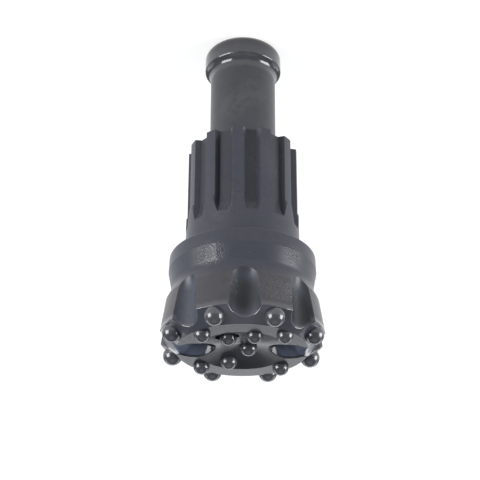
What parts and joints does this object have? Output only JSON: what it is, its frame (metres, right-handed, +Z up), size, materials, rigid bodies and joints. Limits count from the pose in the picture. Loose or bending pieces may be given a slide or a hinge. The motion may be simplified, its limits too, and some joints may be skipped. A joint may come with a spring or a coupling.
{
  "type": "down-the-hole hammer drill bit",
  "caption": "Dark painted percussion drill bit: round-topped buttons and two air holes on a dished, fluted head, over a splined shank with a collar.",
  "frame": {"origin": "centre of the striking face, at the free end of the shank", "axes": "+Z up the bit's axis, from the striking face to the drilling face; +X through one of the two air holes; +Y away from the side that the picture looks at"},
  "size_m": [0.1472, 0.1472, 0.3292],
  "materials": {
    "body_paint": "semi-gloss",
    "button_paint": "semi-gloss"
  },
  "bodies": {
    "root": {"bit_body": "body_paint", "gauge_button_1": "button_paint", "gauge_button_2": "button_paint", "gauge_button_3": "button_paint", "gauge_button_4": "button_paint", "gauge_button_5": "button_paint", "gauge_button_6": "button_paint", "gauge_button_7": "button_paint", "gauge_button_8": "button_paint", "face_button_1": "button_paint", "face_button_2": "button_paint", "face_button_3": "button_paint", "face_button_4": "button_paint", "inner_button_1": "button_paint", "inner_button_2": "button_paint", "inner_button_3": "button_paint", "inner_button_4": "button_paint"}
  },
  "joints": []
}
